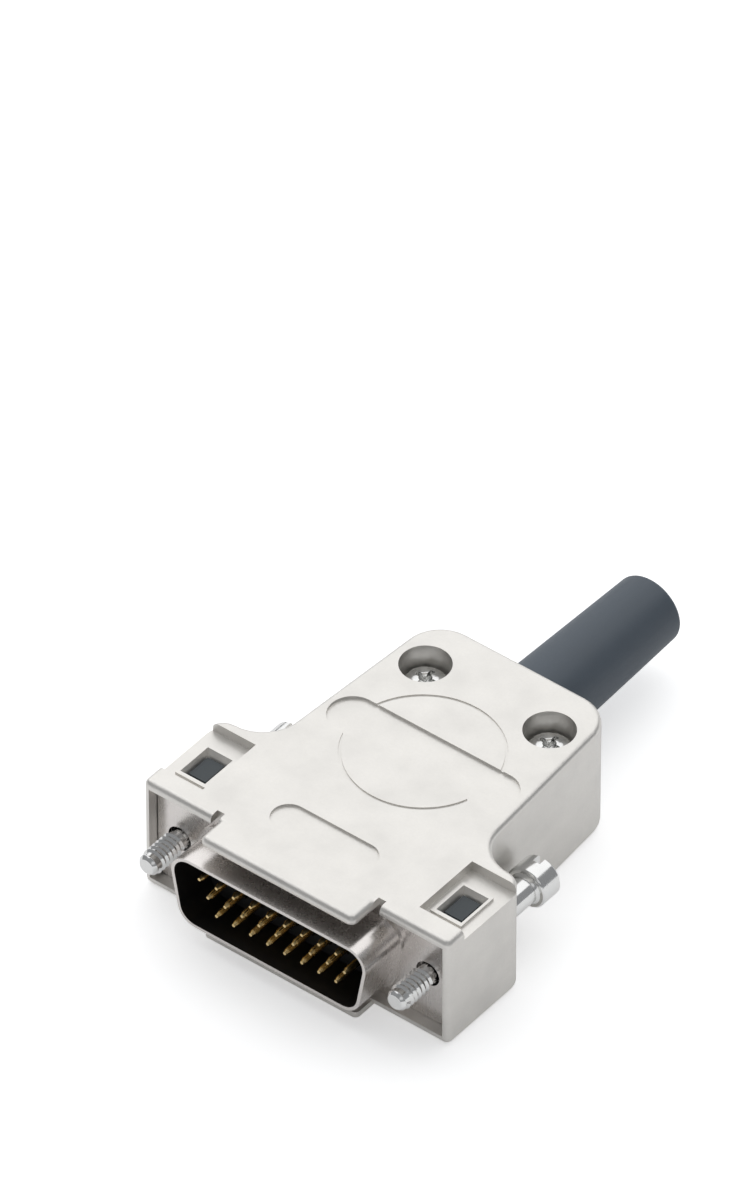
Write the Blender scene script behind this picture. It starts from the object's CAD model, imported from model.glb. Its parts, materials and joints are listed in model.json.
"""Studio picture of a die-cast D-sub hood with its plug, clamp, boot, latches and screws."""

from __future__ import annotations

import json
import logging
import math
from dataclasses import dataclass, field
from enum import Enum
from typing import Any, Callable, Iterable, Sequence

import bpy
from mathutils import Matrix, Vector

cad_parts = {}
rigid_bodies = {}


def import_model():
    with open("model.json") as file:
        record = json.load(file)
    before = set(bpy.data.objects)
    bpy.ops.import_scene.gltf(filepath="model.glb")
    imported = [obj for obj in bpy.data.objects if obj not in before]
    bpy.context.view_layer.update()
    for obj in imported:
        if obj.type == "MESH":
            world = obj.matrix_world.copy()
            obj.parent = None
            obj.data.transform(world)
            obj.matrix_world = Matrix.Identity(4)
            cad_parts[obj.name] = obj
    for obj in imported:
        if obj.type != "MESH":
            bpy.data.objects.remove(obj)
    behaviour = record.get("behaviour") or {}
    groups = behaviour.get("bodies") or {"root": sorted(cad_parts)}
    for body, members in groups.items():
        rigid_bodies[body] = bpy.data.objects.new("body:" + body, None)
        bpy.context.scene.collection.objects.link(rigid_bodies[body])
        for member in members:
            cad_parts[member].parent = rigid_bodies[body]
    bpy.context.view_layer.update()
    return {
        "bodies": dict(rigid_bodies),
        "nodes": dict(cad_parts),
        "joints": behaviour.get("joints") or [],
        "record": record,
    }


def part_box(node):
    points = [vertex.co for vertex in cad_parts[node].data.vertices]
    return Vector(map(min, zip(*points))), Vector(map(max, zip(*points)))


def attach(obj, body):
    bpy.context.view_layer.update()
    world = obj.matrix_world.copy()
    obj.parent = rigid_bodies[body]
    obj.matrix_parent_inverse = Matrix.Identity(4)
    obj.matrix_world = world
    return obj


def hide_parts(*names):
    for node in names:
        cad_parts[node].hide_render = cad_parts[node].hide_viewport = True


log = logging.getLogger("hood")

MM = 0.001
SIDES = ("left", "right")
TOUCH = 0.002 * MM  # corners nearer than this are one corner


class Body(str, Enum):
    """The moving bodies that pieces ride on."""

    BASE = "base"
    COVER = "cover"
    COVER_SCREW_LEFT = "cover_screw_left"
    COVER_SCREW_RIGHT = "cover_screw_right"
    SADDLE = "saddle"
    SADDLE_SCREW_LEFT = "saddle_screw_left"
    SADDLE_SCREW_RIGHT = "saddle_screw_right"
    CLAMP_BLOCK = "clamp_block"
    LOWER_CLIP = "lower_clip"
    UPPER_CLIP = "upper_clip"
    BOOT = "boot"
    PLUG = "plug"
    JACKSCREW_LEFT = "jackscrew_left"
    JACKSCREW_RIGHT = "jackscrew_right"


# --------------------------------------------------------------------------- shader maths


class Wire:
    """An output socket of a material, with the arithmetic that adds Math nodes."""

    def __init__(self, shader: Shader, socket: bpy.types.NodeSocket) -> None:
        """Keeps the socket and the shader that it belongs to."""
        self.shader = shader
        self.socket = socket

    def _math(self, operation: str, first: Any, second: Any) -> Wire:
        """Adds one Math node."""
        return self.shader.node("ShaderNodeMath", {"operation": operation}, {0: first, 1: second})

    def __add__(self, other: Any) -> Wire:
        """self + other."""
        return self._math("ADD", self, other)

    def __radd__(self, other: Any) -> Wire:
        """other + self."""
        return self._math("ADD", other, self)

    def __sub__(self, other: Any) -> Wire:
        """self - other."""
        return self._math("SUBTRACT", self, other)

    def __rsub__(self, other: Any) -> Wire:
        """other - self."""
        return self._math("SUBTRACT", other, self)

    def __mul__(self, other: Any) -> Wire:
        """self * other."""
        return self._math("MULTIPLY", self, other)

    def __rmul__(self, other: Any) -> Wire:
        """other * self."""
        return self._math("MULTIPLY", other, self)

    def __truediv__(self, other: Any) -> Wire:
        """self / other."""
        return self._math("DIVIDE", self, other)

    def __rtruediv__(self, other: Any) -> Wire:
        """other / self."""
        return self._math("DIVIDE", other, self)

    def __abs__(self) -> Wire:
        """The value without its sign."""
        return self._math("ABSOLUTE", self, 0.0)

    def __lt__(self, other: Any) -> Wire:
        """1 where self is less than other, else 0."""
        return self._math("LESS_THAN", self, other)

    def __gt__(self, other: Any) -> Wire:
        """1 where self is greater than other, else 0."""
        return self._math("GREATER_THAN", self, other)

    def fold(self, length: float) -> Wire:
        """A triangle wave that rises to length and falls back."""
        return self._math("PINGPONG", self, length)

    def root(self) -> Wire:
        """The square root."""
        return self._math("SQRT", self, 0.0)


class Shader:
    """A material under construction, with one Principled shader."""

    def __init__(self, name: str) -> None:
        """Starts an empty material.

        Args:
            name: the material's name.
        """
        self.material = bpy.data.materials.new(name)
        self.material.use_nodes = True
        self.tree = self.material.node_tree
        self.tree.nodes.clear()
        self.output = self.tree.nodes.new("ShaderNodeOutputMaterial")
        self.principled = self.tree.nodes.new("ShaderNodeBsdfPrincipled")
        self.tree.links.new(self.principled.outputs[0], self.output.inputs["Surface"])

    def node(self, kind: str, settings: dict[str, Any] | None = None,
             inputs: dict[Any, Any] | None = None, out: int | str = 0) -> Wire:
        """Adds a node.

        Args:
            kind: the node's type.
            settings: its own settings, set first; a ramp's stops are under "stops".
            inputs: a value or a Wire for each named or numbered socket.
            out: the output to return.

        Returns:
            The chosen output.
        """
        node = self.tree.nodes.new(kind)
        for key, value in (settings or {}).items():
            if key == "stops":
                set_stops(node.color_ramp, value)
            else:
                setattr(node, key, value)
        for key, value in (inputs or {}).items():
            if isinstance(value, Wire):
                self.tree.links.new(value.socket, node.inputs[key])
            else:
                node.inputs[key].default_value = value
        return Wire(self, node.outputs[out])

    def place(self) -> Wire:
        """The point in object coordinates, in metres."""
        return self.node("ShaderNodeTexCoord", out="Object")

    def axes(self) -> tuple[Wire, Wire, Wire]:
        """The three parts of the point in object coordinates."""
        split = self.tree.nodes.new("ShaderNodeSeparateXYZ")
        self.tree.links.new(self.place().socket, split.inputs[0])
        return tuple(Wire(self, output) for output in split.outputs)

    def noise(self, size: float, detail: float = 2.0, stretch: Sequence[float] = (1, 1, 1)) -> Wire:
        """A noise from 0 to 1.

        Args:
            size: the size of its patches, in metres.
            detail: its octaves.
            stretch: how often it repeats along each axis, against the others.

        Returns:
            The noise's value.
        """
        where = self.node("ShaderNodeMapping", None, {"Vector": self.place(), "Scale": stretch})
        return self.node("ShaderNodeTexNoise", None,
                         {"Vector": where, "Scale": 1 / size, "Detail": detail, "Roughness": 0.55})

    def ramp(self, value: Wire, stops: Sequence[tuple[float, Sequence[float]]]) -> Wire:
        """A colour ramp over value."""
        return self.node("ShaderNodeValToRGB", {"stops": stops}, {"Fac": value})

    def mix(self, factor: Any, first: Any, second: Any) -> Wire:
        """A colour between first and second."""
        return self.node("ShaderNodeMix", {"data_type": "RGBA"}, {0: factor, 6: first, 7: second}, 2)

    def bump(self, height: Wire, distance: float, strength: float = 1.0) -> Wire:
        """A normal bent by height over distance metres."""
        return self.node("ShaderNodeBump", None,
                         {"Height": height, "Distance": distance, "Strength": strength})

    def surface(self, **sockets: Any) -> bpy.types.Material:
        """Sets the Principled shader's sockets, with spaces written as underscores.

        Returns:
            The finished material.
        """
        for key, value in sockets.items():
            socket = self.principled.inputs[key.replace("_", " ")]
            if isinstance(value, Wire):
                self.tree.links.new(value.socket, socket)
            else:
                socket.default_value = value
        return self.material


def set_stops(ramp: bpy.types.ColorRamp, stops: Sequence[tuple[float, Sequence[float]]]) -> None:
    """Replaces a ramp's stops."""
    while len(ramp.elements) > 1:
        ramp.elements.remove(ramp.elements[-1])
    for index, (position, colour) in enumerate(stops):
        element = ramp.elements[0] if index == 0 else ramp.elements.new(position)
        element.position = position
        element.color = (*colour[:3], 1.0)


def rgba(colour: Sequence[float], gain: float = 1.0) -> tuple[float, float, float, float]:
    """A colour with an alpha of 1, made lighter or darker by gain."""
    return (*(min(c * gain, 1.0) for c in colour), 1.0)


# --------------------------------------------------------------------------- finishes


@dataclass(frozen=True)
class CastFinish:
    """Matte nickel plate on a zinc casting: soft blotches and a fine skin."""

    name: str
    colour: tuple[float, float, float] = (0.74, 0.715, 0.68)
    roughness: float = 0.38
    metallic: float = 0.80
    grain: float = 0.32 * MM
    depth: float = 0.012 * MM
    wave: float = 3 * MM
    blotch: float = 5 * MM
    holes: tuple[tuple[float, float], ...] = ()
    hole_radius: float = 1.5 * MM
    hole_top: float = 10 * MM
    pitch: float = 0.45 * MM
    thread_depth: float = 0.3 * MM

    def threads(self, s: Shader) -> Wire:
        """Rings in the bosses' tapped holes, which come in pairs at plus and minus x."""
        x, y, z = s.axes()
        rings = (z / self.pitch).fold(0.5)
        inside: Any = 0.0
        for across, along in self.holes:
            dx, dy = abs(x) - across, y - along
            inside = inside + ((dx * dx + dy * dy).root() < self.hole_radius)
        return rings * inside * (z < self.hole_top)

    def build(self) -> bpy.types.Material:
        """Makes the material."""
        s = Shader(self.name)
        blotches = s.noise(self.blotch, 3.0)
        skin = s.noise(self.grain, 3.0)
        colour = s.ramp(blotches, [(0.3, rgba(self.colour, 0.93)), (0.5, rgba(self.colour)),
                                   (0.72, rgba(self.colour, 1.06))])
        colour = s.mix(skin * 0.22, colour, rgba(self.colour, 0.8))
        rough = self.roughness + (blotches - 0.5) * 0.22 + (skin - 0.5) * 0.16
        waves = s.noise(self.wave, 1.0)
        height = (skin + waves * 2.0) * self.depth
        if self.holes:
            height = height + self.threads(s) * self.thread_depth
        return s.surface(Base_Color=colour, Metallic=self.metallic, Roughness=rough,
                         Normal=s.bump(height, 1.0))


@dataclass(frozen=True)
class PlatedFinish:
    """Bright plate on steel, with fine turning or rolling lines."""

    name: str
    colour: tuple[float, float, float] = (0.80, 0.80, 0.79)
    roughness: float = 0.16
    stretch: tuple[float, float, float] = (1.0, 1.0, 1.0)
    line: float = 0.5 * MM
    cloud: float = 2.5 * MM
    depth: float = 0.002 * MM

    def build(self) -> bpy.types.Material:
        """Makes the material."""
        s = Shader(self.name)
        lines = s.noise(self.line, 2.0, self.stretch)
        cloud = s.noise(self.cloud, 2.0)
        colour = s.mix(cloud * 0.35, rgba(self.colour), rgba(self.colour, 0.82))
        rough = self.roughness + (cloud - 0.5) * 0.08 + (lines - 0.5) * 0.08
        return s.surface(Base_Color=colour, Metallic=1.0, Roughness=rough,
                         Normal=s.bump(lines, self.depth))


@dataclass(frozen=True)
class ContactFinish:
    """Gold plate on a contact's pin that gives way to tin on its solder cup."""

    name: str
    gold: tuple[float, float, float] = (0.80, 0.60, 0.28)
    tin: tuple[float, float, float] = (0.74, 0.73, 0.70)
    worn: tuple[float, float, float] = (0.45, 0.40, 0.30)
    cloud: float = 1.5 * MM
    turn: float = 4.0 * MM
    roughness: float = 0.26

    def build(self) -> bpy.types.Material:
        """Makes the material."""
        s = Shader(self.name)
        _, along, _ = s.axes()
        cloud = s.noise(self.cloud, 2.0)
        colour = s.mix(along > self.turn, rgba(self.gold), rgba(self.tin))
        colour = s.mix(cloud * 0.3, colour, rgba(self.worn))
        return s.surface(Base_Color=colour, Metallic=1.0, Roughness=self.roughness + (cloud - 0.5) * 0.1)


@dataclass(frozen=True)
class MouldedFinish:
    """Moulded rubber or plastic with a faint grain and a soft sheen."""

    name: str
    colour: tuple[float, float, float]
    roughness: float
    grain: float = 0.22 * MM
    cloud: float = 4 * MM
    depth: float = 0.008 * MM

    def build(self) -> bpy.types.Material:
        """Makes the material."""
        s = Shader(self.name)
        grain = s.noise(self.grain, 3.0)
        cloud = s.noise(self.cloud, 2.0)
        colour = s.mix(cloud * 0.5, rgba(self.colour), rgba(self.colour, 1.35))
        rough = self.roughness + (grain - 0.5) * 0.14 + (cloud - 0.5) * 0.1
        return s.surface(Base_Color=colour, Roughness=rough, IOR=1.5,
                         Normal=s.bump(grain, self.depth))


@dataclass
class Finishes:
    """Every finish of the hood, by the record's slot name, and the plug's dark inside."""

    made: dict[str, bpy.types.Material] = field(default_factory=dict)

    def tapped_holes(self) -> tuple[tuple[float, float], ...]:
        """Where the screws of the right side stand, seen from above."""
        places = []
        for node in ("saddle_screw_right", "cover_screw_right"):
            low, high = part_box(node)
            places.append(((low[0] + high[0]) / 2, (low[1] + high[1]) / 2))
        return tuple(places)

    def build(self) -> Finishes:
        """Makes the materials once."""
        specs: Iterable[CastFinish | PlatedFinish | MouldedFinish | ContactFinish] = (
            CastFinish("cast_shell", colour=(0.775, 0.755, 0.72), 
                       holes=self.tapped_holes()),
            CastFinish("cast_clamp", colour=(0.66, 0.65, 0.63), roughness=0.4,
                       grain=0.4 * MM, depth=0.02 * MM, blotch=3 * MM),
            PlatedFinish("bright_strap", colour=(0.76, 0.76, 0.75), roughness=0.24,
                         stretch=(0.15, 1, 1), line=0.3 * MM),
            PlatedFinish("screw_plate"),
            MouldedFinish("boot_rubber", (0.066, 0.084, 0.105), 0.5),
            MouldedFinish("latch_plastic", (0.032, 0.042, 0.048), 0.42),
            PlatedFinish("tin_shell", colour=(0.76, 0.725, 0.70), roughness=0.27,
                         stretch=(1, 1, 0.2), line=0.35 * MM),
            MouldedFinish("insulator", (0.006, 0.006, 0.007), 0.6, depth=0.002 * MM),
            PlatedFinish("tin_in_shade", colour=(0.055, 0.052, 0.05), roughness=0.5),
            ContactFinish("contact_gold"),
        )
        for spec in specs:
            self.made[spec.name] = spec.build()
        return self


# --------------------------------------------------------------------------- modelling helpers


def deselect() -> None:
    """Leaves edit mode and deselects every object."""
    if bpy.context.object and bpy.context.object.mode != "OBJECT":
        bpy.ops.object.mode_set(mode="OBJECT")
    bpy.ops.object.select_all(action="DESELECT")


def activate(*pieces: bpy.types.Object) -> None:
    """Selects the pieces alone and makes the first one active."""
    deselect()
    for piece in pieces:
        piece.select_set(True)
    bpy.context.view_layer.objects.active = pieces[0]


def select_verts(piece: bpy.types.Object, test: Callable[[Vector], bool]) -> int:
    """Selects the vertices whose place passes the test.

    Returns:
        How many were selected.
    """
    mesh = piece.data
    count = 0
    for vertex in mesh.vertices:
        vertex.select = test(vertex.co)
        count += vertex.select
    for edge in mesh.edges:
        edge.select = all(mesh.vertices[i].select for i in edge.vertices)
    for face in mesh.polygons:
        face.select = all(mesh.vertices[i].select for i in face.vertices)
    return count


@dataclass
class Workshop:
    """Turns CAD nodes into finished pieces and keeps count of them."""

    frame: dict[str, Any]
    finishes: Finishes
    count: int = 0
    flat: float = math.radians(1.0)
    sharp: float = math.radians(40)
    face_weight: int = 90

    def node_body(self, node: str) -> Body:
        """The body that a CAD node belongs to."""
        for body, nodes in self.frame["record"]["behaviour"]["bodies"].items():
            if node in nodes:
                return Body(body)
        raise KeyError(node)

    def slot_of(self, node: str) -> str:
        """The material slot that the record gives a node."""
        for part in self.frame["record"]["subparts"]:
            if part["node"] == node:
                return part["material_slot"]
        raise KeyError(node)

    def merged(self, node: str) -> bpy.types.Object:
        """Copies a CAD node as a mesh with shared corners and whole flat faces.

        Args:
            node: the CAD node's name.

        Returns:
            The copy, named NODE_skin, which stands for the node.
        """
        source = self.frame["nodes"][node]
        piece = bpy.data.objects.new(f"{node}_skin", source.data.copy())
        bpy.context.scene.collection.objects.link(piece)
        activate(piece)
        bpy.ops.object.mode_set(mode="EDIT")
        bpy.ops.mesh.select_all(action="SELECT")
        bpy.ops.mesh.remove_doubles(threshold=TOUCH)
        bpy.ops.mesh.dissolve_limited(angle_limit=self.flat)
        bpy.ops.object.mode_set(mode="OBJECT")
        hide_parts(node)
        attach(piece, self.node_body(node).value)
        return piece

    def finish(self, piece: bpy.types.Object, slot: str, bevel: float = 0.0, segments: int = 2,
               smooth: float = 32.0, count: bool = True) -> bpy.types.Object:
        """Gives a piece its edges and its finish.

        Args:
            piece: the piece.
            slot: the record's material slot.
            bevel: width of the small round on its sharp edges, in metres.
            segments: faces across that round.
            smooth: edges flatter than this many degrees are shaded smooth.
            count: whether this is a piece that wasn't counted before.

        Returns:
            The piece.
        """
        activate(piece)
        if bevel:
            modifier = piece.modifiers.new("edges", "BEVEL")
            modifier.width = bevel
            modifier.segments = segments
            modifier.limit_method = "ANGLE"
            modifier.angle_limit = self.sharp
            modifier.harden_normals = False
            bpy.ops.object.modifier_apply(modifier=modifier.name)
        bpy.ops.object.shade_smooth_by_angle(angle=math.radians(smooth))
        weighted = piece.modifiers.new("flat faces", "WEIGHTED_NORMAL")
        weighted.mode = "FACE_AREA"
        weighted.weight = self.face_weight
        weighted.keep_sharp = True
        bpy.ops.object.modifier_apply(modifier=weighted.name)
        piece.data.materials.clear()
        piece.data.materials.append(self.finishes.made[slot])
        self.count += count
        log.info("%s: %d faces", piece.name, len(piece.data.polygons))
        return piece

    def dress(self, node: str, bevel: float = 0.0, segments: int = 2) -> bpy.types.Object:
        """Makes the finished piece of a CAD node whose shape is right."""
        return self.finish(self.merged(node), self.slot_of(node), bevel, segments)

    def join(self, piece: bpy.types.Object, *others: bpy.types.Object) -> bpy.types.Object:
        """Makes the others part of the first piece."""
        activate(piece, *others)
        bpy.ops.object.join()
        return piece

    def finish_screw(self, piece: bpy.types.Object, helix: bpy.types.Object, node: str,
                     edge: float) -> None:
        """Finishes a screw's shank and head, then adds its thread with sharp edges.

        Args:
            piece: the shank and head.
            helix: the thread.
            node: the screw's CAD node.
            edge: width of the small round on the head's edges, in metres.
        """
        slot = self.slot_of(node)
        self.finish(piece, slot, edge)
        self.join(piece, helix)
        self.finish(piece, slot, count=False)


# --------------------------------------------------------------------------- threads


@dataclass(frozen=True)
class Thread:
    """A screw thread along an axis: a swept triangle that rises from the core to the crest."""

    crest: float
    core: float
    pitch: float
    length: float
    steps: int = 28
    foot: float = 0.44
    sink: float = 0.04 * MM
    reach: float = 0.02 * MM
    margin: float = 0.03 * MM

    def build(self, name: str, start: Vector, axis: Vector) -> bpy.types.Object:
        """Models the helix.

        Args:
            name: the new object's name.
            start: where its axis begins.
            axis: the direction that it runs along.

        Returns:
            The helix as a closed mesh, placed.
        """
        turns = max(1, round((self.length - self.pitch) / self.pitch))
        half = self.pitch * self.foot
        root = self.core - self.sink
        bpy.ops.mesh.primitive_circle_add(vertices=3, radius=half, location=(0, 0, 0))
        helix = bpy.context.object
        helix.name = name
        outline = ((root, 0, 0), (self.crest, 0, half), (root, 0, 2 * half))
        for vertex, place in zip(helix.data.vertices, outline):
            vertex.co = place
        screw = helix.modifiers.new("turns", "SCREW")
        screw.axis = "Z"
        screw.angle = math.tau
        screw.screw_offset = self.pitch
        screw.iterations = turns
        screw.steps = self.steps
        screw.render_steps = self.steps
        screw.use_smooth_shade = False
        activate(helix)
        bpy.ops.object.modifier_apply(modifier=screw.name)
        bpy.ops.object.mode_set(mode="EDIT")
        bpy.ops.mesh.select_all(action="DESELECT")
        bpy.ops.mesh.select_non_manifold()
        bpy.ops.mesh.edge_face_add()
        bpy.ops.mesh.select_all(action="SELECT")
        bpy.ops.mesh.normals_make_consistent(inside=False)
        bpy.ops.object.mode_set(mode="OBJECT")
        helix.rotation_mode = "QUATERNION"
        helix.rotation_quaternion = Vector((0, 0, 1)).rotation_difference(axis)
        helix.location = start
        bpy.ops.object.transform_apply(location=True, rotation=True, scale=True)
        return helix

    def cut(self, piece: bpy.types.Object, start: Vector, axis: Vector) -> bpy.types.Object:
        """Thins a screw's plain threaded stretch to the core and winds the thread round it.

        Args:
            piece: the screw's merged copy.
            start: where the stretch begins, on the screw's axis.
            axis: the direction in which it runs.

        Returns:
            The helix, still a piece of its own.
        """

        def on_thread(point: Vector) -> bool:
            """Whether a vertex lies on the plain cylinder of the stretch."""
            along = (point - start).dot(axis)
            radius = (point - start - axis * along).length
            inside = -self.reach < along < self.length + self.reach
            return inside and abs(radius - self.crest) < self.margin

        found = select_verts(piece, on_thread)
        log.info("%s: thread on %d vertices", piece.name, found)
        ratio = self.core / self.crest
        scale = [1.0 if abs(part) > 0.5 else ratio for part in axis]
        activate(piece)
        bpy.ops.object.mode_set(mode="EDIT")
        bpy.ops.transform.resize(value=scale, center_override=start)
        bpy.ops.object.mode_set(mode="OBJECT")
        return self.build(f"{piece.name}_thread", start, axis)


# --------------------------------------------------------------------------- sub-assemblies


@dataclass
class HoodShells:
    """The two die-cast halves."""

    shop: Workshop
    edge: float = 0.12 * MM

    def build(self) -> None:
        """Dresses the halves."""
        for node in ("bottom_shell", "top_cover"):
            self.shop.dress(node, self.edge)


@dataclass
class PanScrews:
    """The four pan-head screws, with cut threads."""

    shop: Workshop
    crest: float = 1.30 * MM
    core: float = 1.04 * MM
    pitch: float = 0.45 * MM
    lead: float = 0.41 * MM
    head: float = 2.0 * MM
    edge: float = 0.06 * MM

    def build(self) -> None:
        """Makes the cover screws and the saddle screws."""
        for kind in ("cover_screw", "saddle_screw"):
            for side in SIDES:
                self.make(f"{kind}_{side}")

    def make(self, node: str) -> None:
        """Models one screw, standing on its tip."""
        low, high = (Vector(corner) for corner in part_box(node))
        centre = (low + high) / 2
        piece = self.shop.merged(node)
        start = Vector((centre.x, centre.y, low.z + self.lead))
        thread = Thread(self.crest, self.core, self.pitch, high.z - self.head - start.z)
        helix = thread.cut(piece, start, Vector((0, 0, 1)))
        self.shop.finish_screw(piece, helix, node, self.edge)


@dataclass
class Clamp:
    """The cable clamp: a cast block below and a strap above."""

    shop: Workshop
    block_edge: float = 0.15 * MM
    strap_edge: float = 0.08 * MM

    def build(self) -> None:
        """Dresses the block and the strap."""
        self.shop.dress("clamp_block", self.block_edge)
        self.shop.dress("clamp_saddle", self.strap_edge)


@dataclass
class BootGroup:
    """The rubber boot and the two clips round its flange."""

    shop: Workshop
    boot_edge: float = 0.2 * MM
    clip_edge: float = 0.12 * MM

    def build(self) -> None:
        """Dresses the three pieces."""
        self.shop.dress("boot", self.boot_edge, 3)
        self.shop.dress("boot_clip_lower", self.clip_edge)
        self.shop.dress("boot_clip_upper", self.clip_edge)


@dataclass
class Latches:
    """The two plastic latches."""

    shop: Workshop
    edge: float = 0.1 * MM

    def build(self) -> None:
        """Dresses both."""
        for side in SIDES:
            self.shop.dress(f"latch_{side}", self.edge)


@dataclass
class Jackscrews:
    """The two slotted jackscrews, with threaded tips."""

    shop: Workshop
    crest: float = 1.42 * MM
    core: float = 1.16 * MM
    pitch: float = 0.635 * MM
    lead: float = 0.6 * MM
    length: float = 4.6 * MM
    edge: float = 0.06 * MM

    def build(self) -> None:
        """Makes both, each lying along the cable's direction."""
        for side in SIDES:
            node = f"jackscrew_{side}"
            low, high = (Vector(corner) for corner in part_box(node))
            centre = (low + high) / 2
            piece = self.shop.merged(node)
            start = Vector((centre.x, low.y + self.lead, centre.z))
            thread = Thread(self.crest, self.core, self.pitch, self.length)
            helix = thread.cut(piece, start, Vector((0, 1, 0)))
            self.shop.finish_screw(piece, helix, node, self.edge)


@dataclass
class Plug:
    """The 26-way plug."""

    shop: Workshop
    ways: int = 26
    shell_edge: float = 0.08 * MM
    insulator_edge: float = 0.05 * MM
    teeth: int = 84
    seam: float = 31.0 * MM
    tooth_depth: float = 0.16 * MM
    tooth_height: float = 0.1 * MM
    tooth_share: float = 0.55
    tooth_inset: float = 0.04 * MM
    inward: float = 0.3 * MM
    side_on: float = 0.3

    def build(self) -> None:
        """Dresses the shells, the insulators and the contacts, and adds the seam."""
        for node in ("plug_front_shell", "plug_rear_shell"):
            shell = self.shop.dress(node, self.shell_edge)
            self.shade_inside(shell)
        for node in ("plug_front_insulator", "plug_rear_insulator"):
            self.shop.dress(node, self.insulator_edge)
        for number in range(1, self.ways + 1):
            self.shop.dress(f"contact_{number:02d}")
        self.add_seam()

    def shade_inside(self, shell: bpy.types.Object) -> None:
        """Gives the walls that look in on the insulator a dull, dark plate."""
        shell.data.materials.append(self.shop.finishes.made["tin_in_shade"])
        low, high = (Vector(corner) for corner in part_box("plug_front_insulator"))
        middle = (low.z + high.z) / 2
        for face in shell.data.polygons:
            centre, normal = face.center, face.normal
            looks_in = normal.z * (middle - centre.z) - normal.x * centre.x > self.inward
            if looks_in and abs(normal.y) < self.side_on:
                face.material_index = 1

    def add_seam(self) -> None:
        """Puts a row of small dark teeth along the joint of the two flanges, above and below."""
        low, high = (Vector(corner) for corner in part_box("plug_rear_shell"))
        step = self.seam / self.teeth
        rows = []
        for z in (high.z - self.tooth_inset, low.z + self.tooth_inset):
            bpy.ops.mesh.primitive_cube_add(size=1, location=(0, 0, 0))
            tooth = bpy.context.object
            for vertex in tooth.data.vertices:
                vertex.co = Vector((vertex.co.x * step * self.tooth_share - (self.seam - step) / 2,
                                    vertex.co.y * self.tooth_depth + low.y,
                                    vertex.co.z * self.tooth_height + z))
            row = tooth.modifiers.new("row", "ARRAY")
            row.count = self.teeth
            row.use_relative_offset = False
            row.use_constant_offset = True
            row.constant_offset_displace = (step, 0, 0)
            activate(tooth)
            bpy.ops.object.modifier_apply(modifier=row.name)
            rows.append(tooth)
        seam = self.shop.join(*rows)
        seam.name = "plug_seam"
        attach(seam, Body.PLUG.value)
        self.shop.finish(seam, "insulator")


# --------------------------------------------------------------------------- studio


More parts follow.
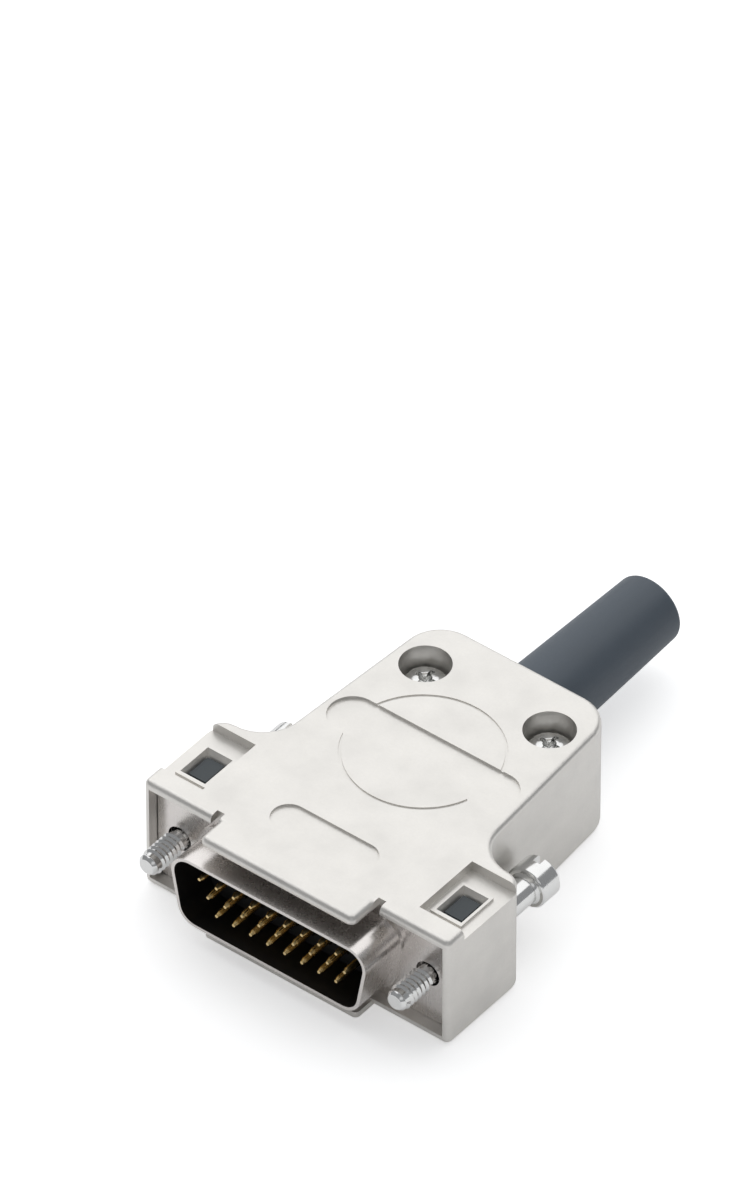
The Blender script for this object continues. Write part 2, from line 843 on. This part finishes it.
@dataclass
class Studio:
    """Floor, lights and camera."""

    azimuth: float = 38.4
    elevation: float = 42.0
    distance: float = 1.60
    tall: float = 126.3 * MM
    aim_right: float = 8.2 * MM
    aim_up: float = 38.3 * MM
    sensor: float = 36.0
    floor_size: float = 6.0
    floor_drop: float = 0.02 * MM
    paper: float = 0.42
    paper_mirrored: float = 0.3
    whiter_per_metre: float = 2.0
    room: float = 0.30
    look_at: tuple[float, float, float] = (0.0, 0.02, 0.02)

    def build(self) -> None:
        """Makes everything that isn't the object."""
        self.floor()
        self.world()
        self.lamps()
        self.camera()

    def directions(self) -> tuple[Vector, Vector, Vector]:
        """The view's right, up and back directions."""
        a, e = math.radians(self.azimuth), math.radians(self.elevation)
        right = Vector((math.cos(a), math.sin(a), 0))
        up = Vector((-math.sin(a) * math.sin(e), math.cos(a) * math.sin(e), math.cos(e)))
        back = Vector((math.sin(a) * math.cos(e), -math.cos(a) * math.cos(e), math.sin(e)))
        return right, up, back

    def camera(self) -> None:
        """Aims a long lens that frames the hood with its cover lifted right off."""
        right, up, back = self.directions()
        target = right * self.aim_right + up * self.aim_up
        data = bpy.data.cameras.new("camera")
        data.sensor_width = self.sensor
        data.lens = self.sensor * self.distance / self.tall
        data.clip_start = 0.01
        data.clip_end = 20.0
        camera = bpy.data.objects.new("camera", data)
        camera.location = target + back * self.distance
        camera.rotation_mode = "QUATERNION"
        camera.rotation_quaternion = back.to_track_quat("Z", "Y")
        bpy.context.scene.collection.objects.link(camera)
        bpy.context.scene.camera = camera

    def floor(self) -> None:
        """A wide white floor that keeps the hood's soft shadow."""
        deselect()
        bpy.ops.mesh.primitive_plane_add(size=self.floor_size, location=(0, 0, -self.floor_drop))
        plane = bpy.context.object
        plane.name = "floor"
        s = Shader("floor")
        path = s.node("ShaderNodeLightPath", out="Is Camera Ray")
        glossy = s.node("ShaderNodeLightPath", out="Is Glossy Ray")
        x, y, _ = s.axes()
        far = (x * x + y * y).root() * self.whiter_per_metre
        paper = s.mix(far, rgba((1, 1, 1), self.paper), rgba((1, 1, 1)))
        glow = s.mix(path + glossy * self.paper_mirrored, rgba((0, 0, 0)), paper)
        s.surface(Base_Color=(0.93, 0.93, 0.93, 1), Roughness=0.9, Specular_IOR_Level=0.0,
                  Emission_Color=glow, Emission_Strength=1.0)
        plane.data.materials.append(s.material)

    def world(self) -> None:
        """A soft grey room that looks white from the camera."""
        world = bpy.data.worlds.new("room")
        bpy.context.scene.world = world
        world.use_nodes = True
        tree = world.node_tree
        room = tree.nodes["Background"]
        room.inputs["Color"].default_value = (0.95, 0.97, 1.0, 1)
        room.inputs["Strength"].default_value = self.room
        white = tree.nodes.new("ShaderNodeBackground")
        white.inputs["Color"].default_value = (1, 1, 1, 1)
        path = tree.nodes.new("ShaderNodeLightPath")
        mix = tree.nodes.new("ShaderNodeMixShader")
        tree.links.new(path.outputs["Is Camera Ray"], mix.inputs["Fac"])
        tree.links.new(room.outputs[0], mix.inputs[1])
        tree.links.new(white.outputs[0], mix.inputs[2])
        tree.links.new(mix.outputs[0], tree.nodes["World Output"].inputs["Surface"])

    def lamps(self) -> None:
        """A large overhead panel, a key from the left and a low fill."""
        self.panel("overhead", (-0.35, 0.45, 0.85), (2.2, 2.2), 14.0)
        self.panel("key", (-0.50, 0.05, 0.45), (0.4, 0.4), 0.2)
        self.panel("fill", (0.40, -0.45, 0.35), (0.3, 0.3), 0.12)

    def panel(self, name: str, place: Sequence[float], size: tuple[float, float], watts: float) -> None:
        """Hangs one rectangular lamp that faces the hood."""
        data = bpy.data.lights.new(name, "AREA")
        data.shape = "RECTANGLE"
        data.size, data.size_y = size
        data.energy = watts
        lamp = bpy.data.objects.new(name, data)
        lamp.location = place
        aim = Vector(self.look_at) - Vector(place)
        lamp.rotation_euler = aim.to_track_quat("-Z", "Y").to_euler()
        bpy.context.scene.collection.objects.link(lamp)


def main() -> None:
    """Builds the picture in order."""
    logging.basicConfig(level=logging.INFO, format="%(message)s")
    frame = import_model()
    scene = bpy.context.scene
    scene.view_settings.view_transform = "Standard"
    shop = Workshop(frame, Finishes().build())
    for assembly in (HoodShells, PanScrews, Clamp, BootGroup, Latches, Jackscrews, Plug):
        assembly(shop).build()
        log.info("%s done, %d pieces so far", assembly.__name__, shop.count)
    Studio().build()


if __name__ == "__main__":
    main()
